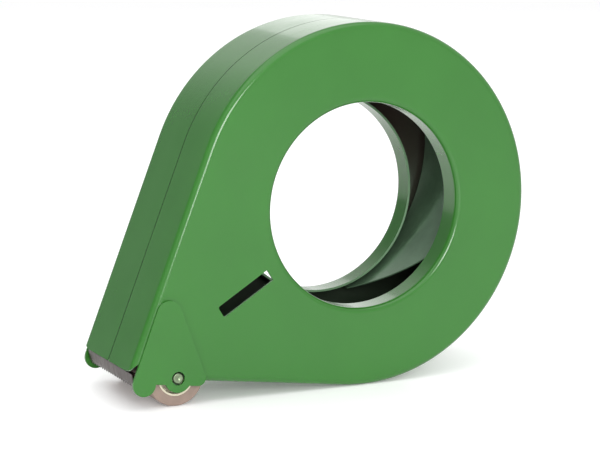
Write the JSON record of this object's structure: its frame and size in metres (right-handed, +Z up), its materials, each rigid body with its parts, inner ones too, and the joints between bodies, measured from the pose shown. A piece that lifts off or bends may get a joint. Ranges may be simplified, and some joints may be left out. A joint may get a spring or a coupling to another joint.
{
  "type": "tape dispenser",
  "caption": "Teardrop hand tape dispenser of green sheet steel: hinged half shells round a large hand hole, nose roller between cheek plates, toothed blade, slot and brake spring.",
  "frame": {"origin": "bottom centre of the bounding box, where the part stands on its roller and on the bottom of its round end", "axes": "+X from the nose to the hinge at the back, +Y from the cover to the body along the roll's axis, +Z up"},
  "size_m": [0.1596, 0.0494, 0.1302],
  "materials": {
    "enamel": "glossy green enamel",
    "steel": "zinc-plated or bare steel",
    "spring_steel": "bare spring steel",
    "blade_steel": "hardened steel, ground",
    "roller_rubber": "matt tan rubber",
    "roller_plastic": "cream plastic"
  },
  "bodies": {
    "body": {"body_shell": "enamel", "body_cheek": "enamel", "roller_axle": "steel", "axle_clip": "spring_steel", "axle_spacer": "steel", "blade_holder": "spring_steel", "cutting_blade": "blade_steel", "blade_rivets": "steel", "brake_spring_root": "spring_steel", "brake_spring_rivets": "steel", "top_locating_tab": "steel", "front_locating_tab": "steel", "bottom_locating_tab": "steel", "hinge_leaf_body": "steel", "hinge_pin": "steel", "hinge_rivets_body": "steel"},
    "cover": {"cover_shell": "enamel", "cover_cheek": "enamel", "hinge_leaf_cover": "steel", "hinge_rivets_cover": "steel"},
    "roller": {"roller_sleeve": "roller_rubber", "roller_tube": "roller_plastic", "roller_bush_near": "roller_plastic", "roller_bush_far": "roller_plastic"},
    "brake_arm": {"brake_spring_arm": "spring_steel"}
  },
  "joints": [
    {"name": "cover_hinge", "type": "hinge", "parent": "body", "child": "cover", "pos_m": [0.0778, -0.00215, 0.0651], "axis": [0, 0, 1], "range_deg": [0, 95]},
    {"name": "roller_spin", "type": "hinge", "parent": "body", "child": "roller", "pos_m": [-0.0625, -0.0004, 0.0102], "axis": [0, 1, 0], "continuous": true},
    {"name": "brake_flex", "type": "hinge", "parent": "body", "child": "brake_arm", "pos_m": [0.0459, 0.00455, 0.1182], "axis": [0, -1, 0], "range_deg": [0, 13], "stiffness_Nm_per_rad": 0.8}
  ]
}
